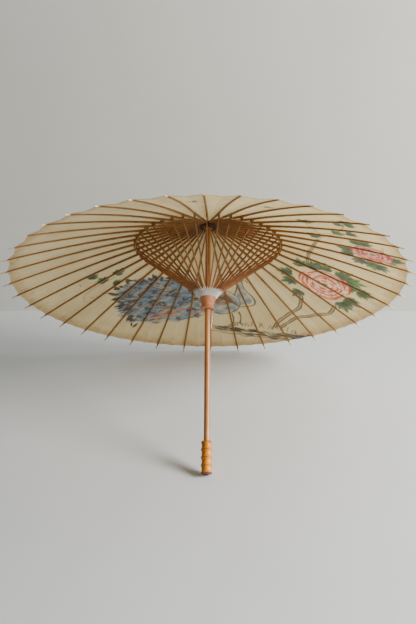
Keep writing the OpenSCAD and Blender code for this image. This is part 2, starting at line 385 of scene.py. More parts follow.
lacquered = capMaterial()
print("materials made")


# mesh helpers: everything is drawn upright in millimetres
def loft(rings):
    count, sides = rings.shape[:2]
    faces = []
    for a in range(0, (count - 1) * sides, sides):
        b = a + sides
        for k in range(sides):
            n = (k + 1) % sides
            faces.append((a + k, a + n, b + n, b + k))
    faces.append(tuple(range(sides))[::-1])
    faces.append(tuple((count - 1) * sides + k for k in range(sides)))
    return rings.reshape(-1, 3), faces


def tube(path, radius, sides=8):
    path = np.asarray(path, float)
    ahead = np.gradient(path, axis=0)
    ahead /= np.linalg.norm(ahead, axis=1)[:, None]
    side = np.cross(ahead[0], (0.13, 0.27, 0.95))
    rings = []
    turns = np.linspace(0, 2 * pi, sides, endpoint=False)
    for point, along in zip(path, ahead):
        side = side - along * (side @ along)
        side /= np.linalg.norm(side)
        other = np.cross(along, side)
        rings.append(point + radius * (np.outer(np.cos(turns), side) + np.outer(np.sin(turns), other)))
    return loft(np.array(rings))


def joinParts(parts):
    points, faces, start = [], [], 0
    for somePoints, someFaces in parts:
        points.append(somePoints)
        faces.extend(tuple(v + start for v in f) for f in someFaces)
        start += len(somePoints)
    return np.concatenate(points), faces


def makePiece(name, shape, material, body, closed=True):
    points, faces = shape
    mesh = bpy.data.meshes.new(name)
    mesh.from_pydata(rest(points).tolist(), [], faces)
    if closed:
        shell = bmesh.new()
        shell.from_mesh(mesh)
        bmesh.ops.recalc_face_normals(shell, faces=shell.faces)
        shell.to_mesh(mesh)
        shell.free()
    mesh.polygons.foreach_set("use_smooth", [True] * len(mesh.polygons))
    if closed:
        mesh.set_sharp_from_angle(angle=radians(50))
    mesh.materials.append(material)
    piece = bpy.data.objects.new(name, mesh)
    scene.collection.objects.link(piece)
    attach(piece, body)
    return piece


def setValue(piece, name, values):
    made = piece.data.attributes.new(name, "FLOAT", "POINT")
    made.data.foreach_set("value", np.asarray(values, np.float32))


def setVector(piece, name, values):
    made = piece.data.attributes.new(name, "FLOAT_VECTOR", "POINT")
    made.data.foreach_set("vector", np.asarray(values, np.float32).ravel())


# lines of the umbrella
lines = {
    "ribs": 40, "pitch": radians(9), "headR": 16.5, "headZ": 627, "jointR": 179.5, "jointZ": 564.5,
    "elbowZ": 574.5, "tipR": 500, "tipMidZ": 462.5, "bow": 5, "fold": radians(67),
    "runnerR": 16, "runnerZ": 437, "uneven": 3.3, "lowRib": 21, "closedGap": 0.24, "leastHalf": 0.35,
}
ribNames = [f"rib_{i:02d}" for i in range(1, lines["ribs"] + 1)]
ribAngles = [radians(270) - k * lines["pitch"] for k in range(lines["ribs"])]


def ribMid(r):
    r = np.asarray(r, float)
    along = (r - lines["headR"]) / (lines["jointR"] - lines["headR"])
    inner = lines["headZ"] + (lines["elbowZ"] - lines["headZ"]) * along
    u = (r - lines["jointR"]) / (lines["tipR"] - lines["jointR"])
    outer = lines["elbowZ"] + (lines["tipMidZ"] - lines["elbowZ"]) * u + 4 * lines["bow"] * u * (1 - u)
    return np.where(r < lines["jointR"], inner, outer)


def ribDepth(r):
    u = np.maximum((np.asarray(r, float) - lines["jointR"]) / (lines["tipR"] - lines["jointR"]), 0)
    return 5.6 - 2.6 * np.sqrt(u)


def ribLow(r):
    return float(ribMid(r) - ribDepth(r) / 2)


def turned3(points, angle):
    points = np.asarray(points, float)
    c, s = cos(angle), sin(angle)
    x = points[..., 0] * c - points[..., 1] * s
    y = points[..., 0] * s + points[..., 1] * c
    return np.stack([x, y, points[..., 2]], -1)


def closedRoom(r, z):  # half the room that a closed rib has at a point of the open rib
    c, s = cos(lines["fold"]), sin(lines["fold"])
    inward = lines["headR"] + (r - lines["headR"]) * c + (z - lines["headZ"]) * s
    return np.maximum(inward * tan(lines["pitch"] / 2) - lines["closedGap"], lines["leastHalf"])


# ribs
ribSet = {
    "startR": 13.7, "halfRoot": 0.75, "half": 2.15, "corner": 0.75, "nodes": (96, 236, 388),
    "nodeSwell": 0.22, "cutLength": 13, "cheekIn": 0.8, "wander": 0.45,
}


def roundedRing(halfW, halfH, corner):
    ring = []
    c = min(corner, halfW * 0.7, halfH * 0.7)
    for sx, sz, first in ((1, 1, 0), (-1, 1, 90), (-1, -1, 180), (1, -1, 270)):
        for step in (0, 30, 60, 90):
            a = radians(first + step)
            ring.append((sx * (halfW - c) + c * cos(a), sz * (halfH - c) + c * sin(a)))
    return np.array(ring)


def ribShape(endR, chance):
    nodes = np.array(ribSet["nodes"]) + chance.uniform(-2.5, 2.5, 3)
    near = np.concatenate([n + np.array([-4, -2, -0.8, 0, 0.8, 2, 4]) for n in nodes])
    stations = np.unique(np.round(np.concatenate([
        [ribSet["startR"], 14.2, 15.2, 18, 23, 30, 40, 50, 62, 78], np.arange(110, 160, 16),
        [160, 166, 172, 179.5, 187, 196], np.arange(210, endR - 20, 17), near,
        endR - np.array([16, 14, 13, 12, 6, 1.2, 0.4, 0])]), 2))
    phase = chance.uniform(0, 6.28, 4)
    rings, band, cut = [], [], []
    for r in stations:
        swell = float(np.exp(-((r - nodes) / 1.5) ** 2).sum())
        free = min(max((r - 200) / 250, 0), 1)
        halfW = float(np.interp(r, [23, 62], [ribSet["halfRoot"], ribSet["half"]]))
        halfW *= 1 - 0.05 * free * (1 + sin(r / 31 + phase[0]))
        halfH = float(ribDepth(r)) / 2 * (1 - 0.04 * free * (1 + sin(r / 43 + phase[1])))
        whittled = 1 - 0.16 * min(max((r - endR + ribSet["cutLength"] + 1) / 2, 0), 1)
        halfW *= whittled
        fade = min(1, (endR - r) / 1.2 * 0.3 + 0.7, (r - ribSet["startR"]) / 1.5 * 0.4 + 0.6)
        ring = roundedRing(halfW * fade, halfH * fade, ribSet["corner"])
        mid = float(ribMid(r))
        z = mid + ring[:, 1]
        side = ring[:, 0] * (1 + ribSet["nodeSwell"] * swell / max(halfW, 1) * (r > 62))
        z = z - ribSet["nodeSwell"] * swell * (ring[:, 1] < 0)
        room = closedRoom(r, z)
        side = np.clip(side, -room, room)
        drift = free * ribSet["wander"] * sin(r / 67 + phase[2])
        rings.append(np.stack([np.full(len(z), r), side + drift, z], -1))
        band.append(np.full(len(z), min(swell, 1)))
        cut.append(np.full(len(z), float(r > endR - ribSet["cutLength"] + 0.5 or r < 14.5)))
    parts = [loft(np.array(rings))]
    jr, jz = lines["jointR"], lines["jointZ"]
    outline = [(jr + out, ribLow(jr + out) + up) for out, up in ((6.6, 0.4), (5, -1.2))]
    outline += [(jr + out, jz + up) for out, up in (
        (3.4, 1.6), (2.9, -0.8), (2, -2.1), (0.3, -2.7), (-1.6, -2.2), (-2.8, -0.8), (-4, 3.0))]
    outline += [(jr + out, ribLow(jr + out) + up) for out, up in (
        (-5.6, -1.2), (-8, 0.4), (-4, 0.8), (0, 0.9), (4, 0.8))]
    outline = np.array(outline)
    for hand in (-1, 1):
        room = np.minimum(closedRoom(outline[:, 0], outline[:, 1]), ribSet["half"] - 0.1)
        face = np.full(len(outline), hand * ribSet["cheekIn"])
        inner = np.column_stack([outline[:, 0], face, outline[:, 1]])
        edge = outline + (outline.mean(0) - outline) * 0.03
        face = hand * np.maximum(room, ribSet["cheekIn"] + 0.3)
        outer = np.column_stack([edge[:, 0], face, edge[:, 1]])
        parts.append(loft(np.array([inner, outer])))
    points, faces = joinParts(parts)
    cheeks = np.zeros(4 * len(outline))
    return points, faces, np.concatenate([*band, cheeks]), np.concatenate([*cut, cheeks])


def makeRibs():
    for k, name in enumerate(ribNames):
        number = k + 1
        chance = np.random.default_rng(100 + number)
        endR = lines["tipR"]
        if number == lines["lowRib"]:
            endR -= lines["uneven"]
        elif abs(number - lines["lowRib"]) == 1:
            endR += lines["uneven"]
        points, faces, band, cut = ribShape(endR, chance)
        piece = makePiece("stick_" + name, (turned3(points, ribAngles[k]), faces), bamboo, name)
        setVector(piece, "grainAt", points * 0.001 + (0, 0, 0.05 * number))
        setValue(piece, "tone", np.full(len(points), chance.uniform(0, 1)))
        setValue(piece, "nodeBand", band)
        setValue(piece, "cutEnd", cut * 0.75)
        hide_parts(name)


makeRibs()
print("ribs made")


# stretchers, which stay in the runner and fold flat against the shaft
stretcherSet = {
    "half": 1.5, "halfRoot": 0.75, "halfTongue": 0.55, "depth": 4.0, "over": 2.2,
    "keep": 0.046, "anchorR": 15,
}
riseLine = np.array([lines["jointR"] - lines["runnerR"], lines["jointZ"] - lines["runnerZ"]])
stretcherLength = float(np.linalg.norm(riseLine))
riseLine = riseLine / stretcherLength
lowLine = np.array([riseLine[1], -riseLine[0]])


def onStretcher(d, below=0.0, side=0.0):  # a point beside a stretcher's middle line
    flat = np.array([lines["runnerR"], lines["runnerZ"]]) + riseLine * d + lowLine * below
    return flat[0], side, flat[1]


def stretcherShape(chance):
    length, over = stretcherLength, stretcherSet["over"]
    widths = [stretcherSet[key] for key in ("halfRoot", "half", "half", "halfTongue")]
    stations = [-over, -over + 0.4, -over + 1.2, 0, 4, 8, 16, 28, 42, 70, 100, 130, 160,
                length - 20, length - 17, length - 15, length - 8, length,
                length + over - 1.2, length + over - 0.4, length + over]
    phase = chance.uniform(0, 6.28, 2)
    rings = []
    for d in stations:
        half = float(np.interp(d, [6, 42, length - 20, length - 15], widths))
        half *= 1 - 0.04 * (1 + sin(d / 23 + phase[0])) * (40 < d < length - 20)
        endGap = min(d + over, length + over - d)
        depth = stretcherSet["depth"] / 2 * sqrt(min(1, 0.25 + endGap / 2.0 * 0.75))
        ring = roundedRing(half, depth, 0.6)
        rings.append([onStretcher(d, -z, s) for s, z in ring])
    return loft(np.array(rings))


def makeStretchers():
    for k in range(lines["ribs"]):
        chance = np.random.default_rng(300 + k)
        points, faces = stretcherShape(chance)
        shape = turned3(points, ribAngles[k]), faces
        piece = makePiece(f"stretcher_{k + 1:02d}", shape, stretcherBamboo, "runner")
        setVector(piece, "grainAt", points * 0.001 + (0, 0, 0.07 * k))
        setValue(piece, "tone", np.full(len(points), chance.uniform(0, 1)))
        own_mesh(piece)
        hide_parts("stretchers")


makeStretchers()
print("stretchers made")


# oiled paper, one strip a rib, which gathers on its rib as the umbrella closes
def paperEdge(share):  # share runs from the rib, 0, to the fold between two ribs, 1
    return paperSet["outerR"] - paperSet["scallop"] * (1 - (1 - share) ** 2) ** 0.9


def paperPoint(r, alpha):  # alpha is the turn from the nearest rib
    half = lines["pitch"] / 2
    share = np.abs(alpha) / half
    flatR = r * cos(half) / np.cos(half - np.abs(alpha))
    loose = np.clip((r - paperSet["looseR"]) / (paperSet["outerR"] - paperSet["looseR"]), 0, 1) ** 1.3
    dip = paperSet["dip"] * loose * (0.25 * share + 0.75 * share ** 2.2)
    z = ribMid(r) + ribDepth(r) / 2 + paperSet["gap"] - dip
    return flatR, z, share


def paperStrip(k):
    columns, rows = paperSet["columns"], paperSet["rows"]
    across = np.linspace(-1, 1, columns + 1)
    alpha = across * lines["pitch"] / 2
    edge = paperEdge(np.abs(across))
    down = np.linspace(0, 1, rows + 1)
    r = paperSet["innerR"] + (edge[None, :] - paperSet["innerR"]) * down[:, None]
    alpha = np.broadcast_to(alpha, r.shape)
    flatR, z, share = paperPoint(r, alpha)
    angle = ribAngles[k] + alpha
    points = np.stack([flatR * np.cos(angle), flatR * np.sin(angle), z], -1).reshape(-1, 3)
    plan = np.column_stack([points[:, 0], -points[:, 1]])
    x, y = plan.T
    ripple = np.sin(x / 17 + 2.1 * np.sin(y / 29)) * np.sin(y / 21 + 1.7 * np.sin(x / 33))
    ripple *= np.clip(share.ravel() * 3 - 0.6, 0, 1) * np.clip((r.ravel() - 80) / 120, 0, 1)
    points[:, 2] += 0.35 * ripple
    wide = columns + 1
    faces = [(a * wide + c, a * wide + c + 1, (a + 1) * wide + c + 1, (a + 1) * wide + c)
             for a in range(rows) for c in range(columns)]
    return points, faces, plan, r.ravel(), share.ravel()


strips = [paperStrip(k) for k in range(lines["ribs"])]
planX = np.concatenate([s[2][:, 0] for s in strips])
planY = np.concatenate([s[2][:, 1] for s in strips])
print("paper laid out")


# painting: brush marks laid on the paper, in millimetres from the shaft, seen from inside
pigment = np.zeros((len(planX), 3))
cover = np.zeros(len(planX))
brush = np.random.default_rng(11)
vary = brush.uniform
inks = {
    "black": "07090c", "slate": "16283c", "blue": "2a5a86", "paleBlue": "6b8fa8",
    "orange": "c8360e", "yellow": "d89412", "coral": "d8301c", "deepCoral": "8e120e", "blush": "f6d3b6",
    "rose": "b01a30", "deepRose": "5e0a1c", "pink": "ecae9e", "purple": "4a2f66", "teal": "0c5258",
    "leaf": "13703c", "deepLeaf": "062f2a", "paleLeaf": "5f9c58", "bark": "2a1c12", "wing": "84502c",
}


def within(x0, x1, y0, y1):
    return np.flatnonzero((planX > x0) & (planX < x1) & (planY > y0) & (planY < y1))


def layOn(index, amount, colour):
    amount = np.clip(amount, 0, 1)
    pigment[index] = pigment[index] * (1 - amount[:, None]) + np.asarray(colour) * amount[:, None]
    cover[index] = cover[index] * (1 - amount) + amount


def wavering(x, y, size):
    first = np.sin(x / size + 1.3 * np.sin(y / size * 1.7))
    second = np.sin(y / size * 1.31 + 1.9 * np.sin(x / size * 0.77))
    return 0.5 + 0.25 * (first + second)


def beside(points, margin):
    (x0, y0), (x1, y1) = points.min(0) - margin, points.max(0) + margin
    return within(x0, x1, y0, y1)


def toSegment(x, y, start, end):  # how far along a line, and how far from it
    dx, dy = end - start
    t = np.clip(((x - start[0]) * dx + (y - start[1]) * dy) / max(dx * dx + dy * dy, 1e-9), 0, 1)
    return t, np.hypot(x - start[0] - t * dx, y - start[1] - t * dy)


def smoothLine(points):
    points = np.asarray(points, float)
    for _ in range(2):
        cut = np.empty((2 * len(points) - 2, 2))
        cut[0::2] = 0.75 * points[:-1] + 0.25 * points[1:]
        cut[1::2] = 0.25 * points[:-1] + 0.75 * points[1:]
        points = np.vstack([points[:1], cut, points[-1:]])
    return points


def stroke(points, width, ink, strength=0.8, taper=0.5):
    path = smoothLine(points)
    index = beside(path, width + 3)
    if not len(index):
        return
    x, y = planX[index], planY[index]
    best = np.full(len(index), 1e9)
    place = np.zeros(len(index))
    count = len(path) - 1
    for n in range(count):
        t, gap = toSegment(x, y, path[n], path[n + 1])
        nearer = gap < best
        best = np.where(nearer, gap, best)
        place = np.where(nearer, (n + t) / count, place)
    half = width / 2 * (1 - taper * np.abs(2 * place - 1) ** 2) * (0.8 + 0.4 * wavering(x, y, 9))
    layOn(index, strength * np.clip((half + 1 - best) / 2, 0, 1), shade(inks[ink]))


def blade(x, y, angle, length, width, inner, outer, strength=0.8, rimInk=None, blunt=1.0):
    c, s = cos(angle), sin(angle)
    reach = length + width
    index = within(x - reach, x + reach, y - reach, y + reach)
    if not len(index):
        return
    dx, dy = planX[index] - x, planY[index] - y
    u = (dx * c + dy * s) / length
    v = (-dx * s + dy * c) / (width / 2)
    inside = np.clip(u, 0, 1)
    profile = np.sin(pi * inside ** blunt) ** 0.8
    margin = profile - np.abs(v) + 0.12 * (wavering(planX[index], planY[index], 5) - 0.5)
    amount = np.clip(margin * 4 + 0.3, 0, 1) * ((u > -0.02) & (u < 1.02))
    mixed = np.outer(1 - inside, shade(inks[inner])) + np.outer(inside, shade(inks[outer]))
    layOn(index, amount * strength * (0.75 + 0.4 * wavering(planX[index] + 40, planY[index], 11)), mixed)
    if rimInk:
        edge = np.clip(1 - np.abs(margin - 0.1) * 5, 0, 1) * ((u > 0.03) & (u < 0.99))
        layOn(index, edge * strength * 0.8, shade(inks[rimInk]))


def wash(outline, ink, strength, grain, soft):
    outline = smoothLine(list(outline) + [outline[0]])
    index = beside(outline, soft)
    x, y = planX[index], planY[index]
    inside = np.zeros(len(index), bool)
    gap = np.full(len(index), 1e9)
    for start, end in zip(outline[:-1], outline[1:]):
        (ax, ay), (bx, by) = start, end
        inside ^= ((ay > y) != (by > y)) & (x < (bx - ax) * (y - ay) / (by - ay + 1e-9) + ax)
        gap = np.minimum(gap, toSegment(x, y, start, end)[1])
    amount = np.clip(np.where(inside, gap, -gap) / soft + 0.4, 0, 1)
    layOn(index, strength * amount * (0.55 + 0.9 * (wavering(x, y, grain) - 0.15)), shade(inks[ink]))


def trainTop(x):  # upper edge of the long tail
    return float(np.interp(x, [-250, -235, -180, -120, -60, -10], [-240, -196, -176, -190, -214, -258]))


def trainLow(x):
    return float(np.interp(x, [-250, -220, -160, -90, -30, 0], [-300, -346, -372, -374, -366, -336]))


def inTrain(chance, x0, x1, margin):
    x = chance.uniform(x0, x1)
    return x, chance.uniform(trainLow(x) + margin, trainTop(x) - margin)


def combed(x, y):  # the way the barbs lie, away from the rump
    return atan2(y + 292, x - 95)


def paintTail():
    wash([(-8, -262), (-60, -214), (-120, -190), (-185, -176), (-242, -192), (-250, -250),
          (-248, -310), (-222, -350), (-160, -370), (-90, -374), (-30, -366), (4, -330)],
         "paleBlue", 0.8, 15, 8)
    wash([(-30, -252), (-90, -208), (-180, -184), (-238, -200), (-244, -290), (-214, -340),
          (-130, -350), (-60, -330)], "blue", 0.55, 9, 12)
    for _ in range(480):
        x, y = inTrain(brush, -244, -8, 3)
        angle = combed(x, y) + vary(-0.35, 0.35)
        reach = vary(8, 20)
        odds = [0.4, 0.32, 0.18, 0.1] if x < -90 else [0.34, 0.14, 0.32, 0.2]
        ink = brush.choice(["slate", "black", "blue", "paleBlue"], p=odds)
        bend = vary(-3, 3)
        dx, dy = reach * cos(angle), reach * sin(angle)
        barb = [(x, y), (x + dx / 2 + bend, y + dy / 2 + bend), (x + dx, y + dy)]
        stroke(barb, vary(2.0, 3.8), ink, 0.8, 0.6)
    for row in range(7):  # eyes of the train
        for column in range(9):
            x = -40 - column * 24 + vary(-10, 10)
            y = -352 + row * 27 + 13 * (column % 2) + vary(-9, 9)
            if y > trainTop(x) - 6 or y < trainLow(x) + 8 or brush.random() < 0.12:
                continue
            angle = combed(x, y) + vary(-1.0, 1.0)
            big = vary(5.0, 9.4)
            arc = [(x + big * cos(angle + t), y + 0.8 * big * sin(angle + t))
                   for t in (-1.9, -1.2, -0.5, 0.2, 0.9, 1.6, 2.2)]
            stroke(arc[:brush.integers(4, 8)], vary(4.5, 7.5), "black", 0.95, 0.6)
            blade(x - 4 * cos(angle), y - 4 * sin(angle), angle, 9, 8, "slate", "blue", 0.7)
            if brush.random() < 0.7:
                turn = vary(0, 6.3)
                blade(x + 11 * cos(turn), y + 9 * sin(turn), turn, 6, 4.5, "orange", "orange", 0.9)
    for n in range(52):  # ragged tips along the outer edge
        share = n / 51
        x = float(np.interp(share, [0, 0.4, 0.56, 1], [-60, -205, -244, -206]))
        y = float(np.interp(share, [0, 0.4, 0.56, 1], [-214, -182, -214, -356]))
        angle = float(np.interp(share, [0, 0.5, 1], [1.7, 2.5, 4.0])) + vary(-0.8, 0.8)
        blade(x + vary(-9, 9), y + vary(-9, 9), angle,
              vary(13, 28), vary(6, 11), "slate", "black", 1.0)
    for n in range(24):  # warm under-feathers by the rump
        x = -24 - 5 * n + vary(-3, 3)
        y = -336 - 9 * sin(n * 0.7) + vary(-10, 6)
        ink = brush.choice(["yellow", "orange", "yellow", "paleBlue"])
        stroke([(x, y), (x - 12, y + 3), (x - 26, y - 2)], 3.2, ink, 0.85)


def paintBird():
    wash([(-12, -262), (20, -256), (60, -268), (84, -296), (76, -330), (40, -350), (4, -345),
          (-14, -310)], "paleBlue", 0.75, 9, 6)
    wash([(-2, -268), (34, -262), (62, -282), (64, -306), (30, -318), (4, -300)], "wing", 0.9, 7, 5)
    for n in range(11):
        x, y = 2 + 6.5 * n, -284 - 2.6 * n
        blade(x, y + 16, -0.6 - 0.05 * n, 25, 7, "wing", "slate", 0.8, "bark", 0.9)
    for n in range(26):
        x, y = vary(-8, 76), vary(-344, -312)
        stroke([(x, y), (x + 7, y - 2)], 2.4, brush.choice(["slate", "blue", "paleBlue"]), 0.75)
    stroke([(-14, -322), (0, -338), (34, -352), (66, -340), (84, -312), (80, -282), (60, -262),
            (20, -252)], 3.4, "slate", 0.95, 0.3)
    stroke([(84, -316), (108, -314), (126, -296), (116, -270), (98, -252), (88, -232), (86, -214)],
           4.0, "slate", 0.98, 0.2)
    stroke([(66, -270), (72, -250), (74, -230), (76, -214)], 3.6, "slate", 0.95, 0.2)
    wash([(84, -310), (116, -298), (112, -276), (92, -254), (84, -222), (76, -222), (74, -252),
          (72, -276)], "paleBlue", 0.85, 8, 4)
    for n in range(14):
        share = n / 13
        x, y = 104 - 24 * share + vary(-5, 5), -302 + 78 * share
        stroke([(x, y), (x + 4, y + 4)], 2.2, "blue", 0.75)
    blade(68, -216, 0.5, 24, 15, "blue", "slate", 0.95, "black", 0.9)
    stroke([(88, -207), (99, -211), (101, -217)], 2.8, "bark", 0.95)
    blade(81, -208, 0.2, 4.6, 4.4, "black", "black", 1.0)
    for turn in (1.1, 1.4, 1.7, 2.0):
        stroke([(78, -202), (78 + 19 * cos(turn), -202 + 19 * sin(turn))], 2.3, "slate", 0.9)
    for x, y in ((60, -346), (80, -336)):
        stroke([(x, y), (x + 6, y - 22), (x + 3, y - 44)], 4.0, "bark", 0.95, 0.1)
        for turn in (-2.6, -1.4, -0.4):
            toe = x + 3 + 14 * cos(turn), y - 44 + 8 * sin(turn)
            stroke([(x + 3, y - 44), toe], 3.0, "bark", 0.95)


def paintRock():
    for lift, ink in ((0, "black"), (-12, "bark"), (-21, "slate")):
        line = [(x, -396 + lift - 16 * sin((x - 5) / 84) + vary(-3, 3))
                for x in range(4, 262, 15)]
        stroke(line, 3.4, ink, 0.8, 0.3)
    for _ in range(90):
        x = 270 - 265 * brush.random() ** 1.4
        y = -400 - 14 * sin((x - 5) / 84) + vary(-14, 12) * min(1, x / 120 + 0.3)
        middle = x + vary(8, 16), y + vary(-5, 4)
        end = x + vary(18, 34), y + vary(-7, 3)
        stroke([(x, y), middle, end], vary(2.6, 5.4),
               brush.choice(["black", "bark", "slate", "black"]), vary(0.6, 0.95))
    for n in range(20):
        x = 70 + n * 9 + vary(-4, 4)
        top = x + vary(-8, 10), -378 + vary(-5, 9)
        stroke([(x, -394), top], 2.6, brush.choice(["black", "deepLeaf"]), 0.85, 0.8)


def branch(points, width):
    path = smoothLine(points)
    ahead = np.gradient(path, axis=0)
    side = np.column_stack([-ahead[:, 1], ahead[:, 0]]) / np.linalg.norm(ahead, axis=1)[:, None]
    stroke(points, width, "wing", 0.55, 0.3)
    for hand in (-1, 1):
        for first in range(0, len(path) - 3, 4):
            part = (path + hand * side * width * 0.42)[first:first + 5]
            part = part + vary(-1.1, 1.1, part.shape)
            ink = "bark" if hand > 0 else "black"
            stroke(part, vary(2.8, 4.2), ink, vary(0.8, 1.0), 0.5)


def paintBranches():
    branch([(178, -384), (190, -352), (214, -318), (240, -288), (246, -250), (240, -212)], 9)
    branch([(198, -378), (218, -346), (256, -312), (302, -290), (326, -266), (332, -232)], 9)
    branch([(250, -76), (248, -20), (256, 40), (264, 96)], 7)
    for points, width in (
        ([(268, 100), (266, 140), (240, 176), (226, 208)], 2.6),
        ([(270, 118), (296, 166), (308, 236), (302, 288)], 2.8),
        ([(272, 150), (300, 190), (330, 204)], 2.4),
        ([(352, 62), (340, 92), (336, 120)], 2.6),
        ([(410, 150), (402, 176)], 2.2),
    ):
        stroke(points, width, "bark", 0.85, 0.3)


def paintLeaves(spots):
    for x, y, turn, size in spots:
        blade(x - 2, y, turn, size * 1.15, size * 0.9, "teal", "leaf", 0.6, None, 0.8)
        for lean, scale in ((-1.0, 0.75), (1.0, 0.75), (-0.5, 1.05), (0.5, 1.05), (0.0, 1.3)):
            outer = brush.choice(["leaf", "paleLeaf", "teal", "leaf"])
            blade(x, y, turn + lean, size * scale, size * 0.42, "deepLeaf", outer, 0.95, None, 0.85)
            c, s = cos(turn + lean), sin(turn + lean)
            far = size * scale * 0.9
            stroke([(x + 2 * c, y + 2 * s), (x + far * c, y + far * s)], 2.4, "black", 0.8, 0.6)


def paintPeony(x, y, radius, light, mid, deep, heart):
    blade(x - 1.05 * radius, y, 0, 2.1 * radius, 1.9 * radius, light, light, 0.75, None, 0.6)
    for size, count, level in ((1.0, 11, 0), (0.76, 9, 1), (0.53, 7, 0), (0.32, 5, 1)):
        for n in range(count):
            turn = 2 * pi * (n + 0.5 * level) / count + vary(-0.3, 0.3)
            start = radius * size * vary(0.3, 0.52)
            px, py = x + start * cos(turn), y + 0.92 * start * sin(turn)
            long = radius * size * vary(0.55, 0.66)
            blade(px, py, turn, long, radius * 0.62 * size, light, light, 0.8, None, 1.5)
            spread = 0.62 + 0.25 * brush.random()
            rim = [(px + long * cos(turn + t), py + long * sin(turn + t))
                   for t in np.linspace(-spread, spread, 6)]
            stroke(rim, vary(5.0, 6.6), mid, 0.9, 0.55)
            stroke(rim[1:-1], 2.4, deep, 0.7, 0.5)
            for step in vary(-0.5, 0.5, 3):  # brushed from the petal's edge inwards
                c, s = cos(turn + step), sin(turn + step)
                close = long * vary(0.5, 0.72)
                fleck = [(px + long * c, py + long * s), (px + close * c, py + close * s)]
                stroke(fleck, 2.6, mid, 0.75, 0.6)
    blade(x - 9, y - 3, 0.4, 18, 13, heart, "teal", 0.9)
    for n in range(7):
        turn = n * 0.9
        blade(x + 6 * cos(turn), y + 6 * sin(turn), turn, 4, 3, "yellow", "yellow", 0.85)


def paintSmallThings():
    for x, y, turn, size, ink in ((128, 315, 0.3, 26, "blue"), (-20, 345, 2.7, 24, "purple")):
        for lean in (-0.9, 0.1, 0.8):
            blade(x, y, turn + lean, size, size * 0.42, ink, "slate", 0.7, "slate", 0.9)
        feeler = x + size * cos(turn + 3.1), y + size * sin(turn + 3.1)
        stroke([(x, y), feeler], 2.6, "black", 0.75)
    paintLeaves([(-300, -120, 1.2, 24), (-268, -152, 2.1, 26), (-240, -132, 0.9, 26),
                 (-250, -165, -0.3, 22)])
    for _ in range(16):
        x, y = vary(-335, -262), vary(-212, -122)
        ink = brush.choice(["rose", "slate", "bark"])
        stroke([(x, y), (x + vary(-7, 7), y + vary(-8, 8))], 2.4, ink, 0.65)
    stroke([(-330, -190), (-300, -165), (-268, -152), (-240, -140)], 2.0, "bark", 0.7)


paintTail()
paintBird()
paintRock()
paintBranches()
paintLeaves([
    (236, -92, 1.9, 34), (262, -84, 1.2, 34), (292, -80, 1.6, 34), (330, -92, 0.9, 40), (350, -100, 0.2, 40),
    (214, -132, 3.3, 34), (224, -160, 3.7, 34), (356, -186, -0.5, 38), (346, -206, -1.1, 38),
    (382, -134, -0.2, 36), (352, -132, 0.4, 32), (240, -205, 4.2, 30), (350, 142, 1.9, 30),
    (362, 150, 1.3, 28), (344, 92, 3.3, 30), (346, 72, 3.8, 26), (424, 92, -0.4, 26), (432, 112, 0.3, 26),
    (396, 52, -1.3, 36),
    (410, 48, -0.9, 32), (372, 52, -2.0, 30), (262, 110, 2.6, 26), (246, 108, 1.1, 24), (226, 206, 2.2, 28),
    (222, 214, 0.9, 24), (292, 178, 0.7, 28), (318, 206, 0.1, 26), (304, 286, 1.4, 30), (306, 280, 0.5, 24),
    (300, 262, 2.4, 24)])
paintPeony(300, -150, 62, "blush", "coral", "deepCoral", "leaf")
paintPeony(390, 104, 45, "pink", "rose", "deepRose", "leaf")
paintSmallThings()
print("paper painted")


def makePaper():
    start = 0
    ink = pigment / np.maximum(cover, 1e-4)[:, None]
    for k, name in enumerate(ribNames):
        points, faces, plan, r, share = strips[k]
        piece = makePiece(f"paper_{k + 1:02d}", (points, faces), oiledPaper, name,
                          closed=False)
        chosen = slice(start, start + len(points))
        start += len(points)
        setVector(piece, "flatAt", np.column_stack([plan, np.zeros(len(plan))]) * 0.001)
        setValue(piece, "reach", r * 0.001)
        setValue(piece, "crease", np.clip((share - 0.93) / 0.07, 0, 1) * np.clip((r - 120) / 200, 0, 1))
        made = piece.data.attributes.new("paint", "FLOAT_COLOR", "POINT")
        painted = np.column_stack([ink[chosen], cover[chosen] * 0.9])
        made.data.foreach_set("color", painted.astype(np.float32).ravel())
        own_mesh(piece)
        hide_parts("canopy")


makePaper()
print("paper made")


# threads through the joints and along the rim of the paper
threadSet = {"jointD": 1.0, "rimD": 0.9, "sag": 0.7}


def threadShape():
    half = lines["pitch"] / 2
    alpha = np.linspace(-half, half, 25)
    share = np.abs(alpha) / half
    jointR = lines["jointR"] * cos(half) / np.cos(half - np.abs(alpha))
    droop = threadSet["sag"] * (1 - (1 - share) ** 2)
    joint = np.column_stack([jointR * np.cos(alpha), jointR * np.sin(alpha), lines["jointZ"] - droop])
    rimR, rimZ, _ = paperPoint(paperEdge(share), alpha)
    rim = np.column_stack([(rimR + 0.3) * np.cos(alpha), (rimR + 0.3) * np.sin(alpha), rimZ - 0.1])
    return joinParts([tube(joint, threadSet["jointD"] / 2), tube(rim, threadSet["rimD"] / 2)])


def makeThreads():
    points, faces = threadShape()
    for k, name in enumerate(ribNames):
        shape = turned3(points, ribAngles[k]), faces
        piece = makePiece(f"threads_{k + 1:02d}", shape, thread, name)
        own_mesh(piece)
        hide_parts("joint_thread", "rim_thread")


makeThreads()


# cotton lacing that ties the stretchers together above the runner
lacingSet = {
    "low": (19.6, 432.5), "high": (30.4, 446.2), "rows": 13, "d": 1.0, "sectors": 8,
    "spikes": (23.5, 19.0), "spikeD": 0.8, "backD": 0.72,
}
lacingSet["ribs"] = lines["ribs"] // lacingSet["sectors"]


